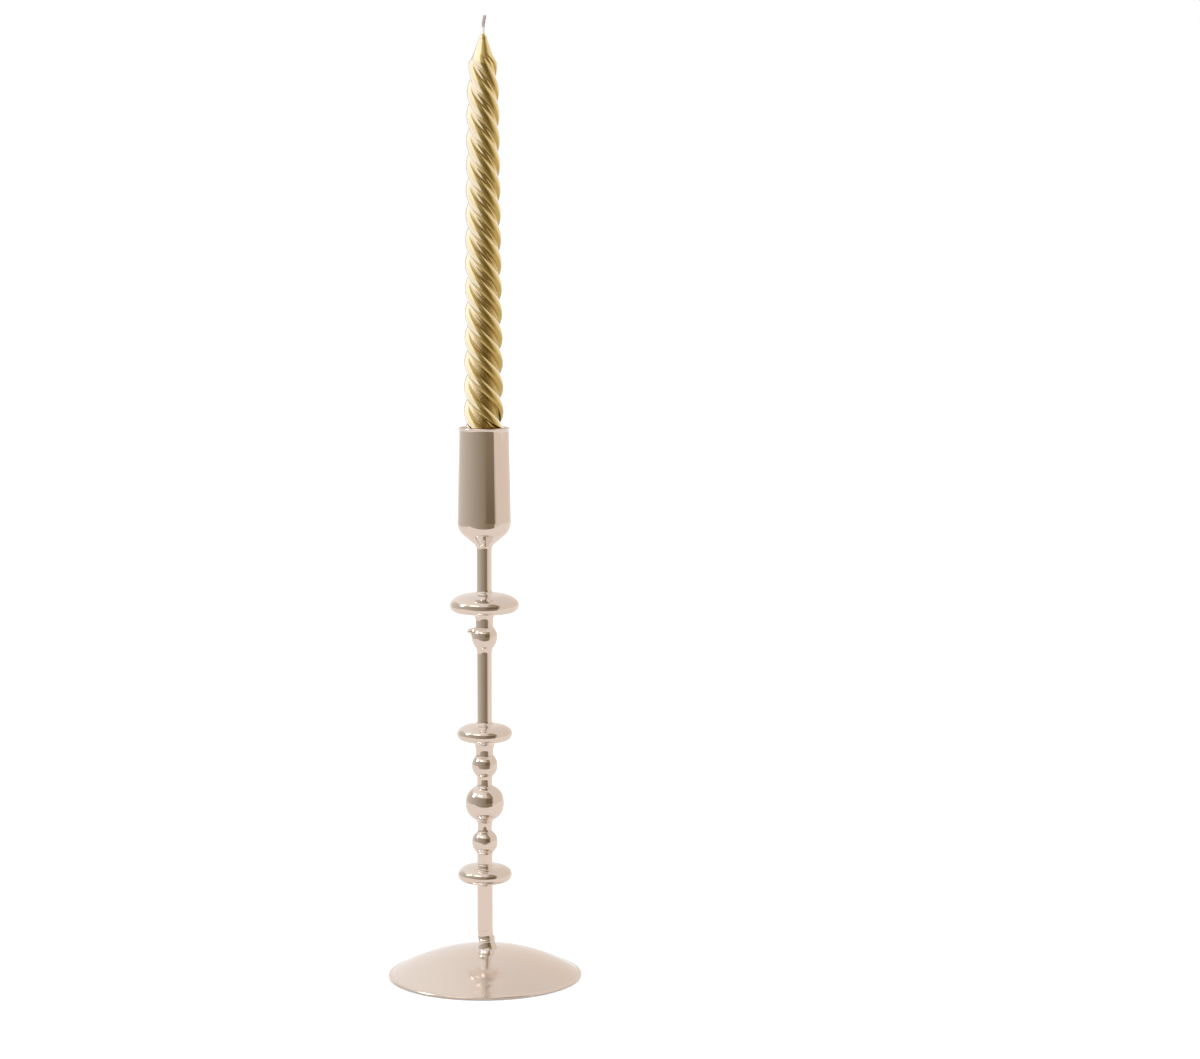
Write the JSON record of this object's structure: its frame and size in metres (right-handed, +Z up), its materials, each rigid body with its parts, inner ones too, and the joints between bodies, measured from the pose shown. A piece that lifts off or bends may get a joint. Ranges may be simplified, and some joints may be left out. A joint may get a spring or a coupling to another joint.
{
  "type": "candle holder",
  "caption": "Tall slender candlestick with beads and discs stacked on a thin stem, a domed round foot, a deep cup and a twisted taper candle.",
  "frame": {"origin": "centre of the felt pad's underside, where the candlestick stands", "axes": "+Z up along the stem towards the wick, +X to the right and +Y away from the camera in the picture"},
  "size_m": [0.1052, 0.1052, 0.518],
  "materials": {
    "champagne_plate": "polished",
    "cast_ballast": "rough",
    "felt": "matte",
    "zinc_steel": "satin",
    "gold_wax": "metallic gloss",
    "wick_cotton": "matte"
  },
  "bodies": {
    "holder": {"foot_shell": "champagne_plate", "foot_collar": "champagne_plate", "lower_stem": "champagne_plate", "lower_disc": "champagne_plate", "neck_under_beads": "champagne_plate", "lower_small_bead": "champagne_plate", "neck_under_large_bead": "champagne_plate", "large_bead": "champagne_plate", "neck_over_large_bead": "champagne_plate", "upper_small_bead": "champagne_plate", "neck_over_beads": "champagne_plate", "middle_disc": "champagne_plate", "middle_stem": "champagne_plate", "collar_bead": "champagne_plate", "top_neck": "champagne_plate", "top_disc": "champagne_plate", "upper_stem": "champagne_plate", "candle_cup": "champagne_plate", "ballast": "cast_ballast", "felt_pad": "felt", "tie_rod": "zinc_steel", "flat_washer": "zinc_steel", "spring_washer": "zinc_steel", "hex_nut": "zinc_steel"},
    "candle": {"candle": "gold_wax", "wick": "wick_cotton"}
  },
  "joints": [
    {"name": "candle_lift", "type": "slide", "parent": "holder", "child": "candle", "axis": [0, 0, 1], "range_m": [0, 0.06]}
  ]
}
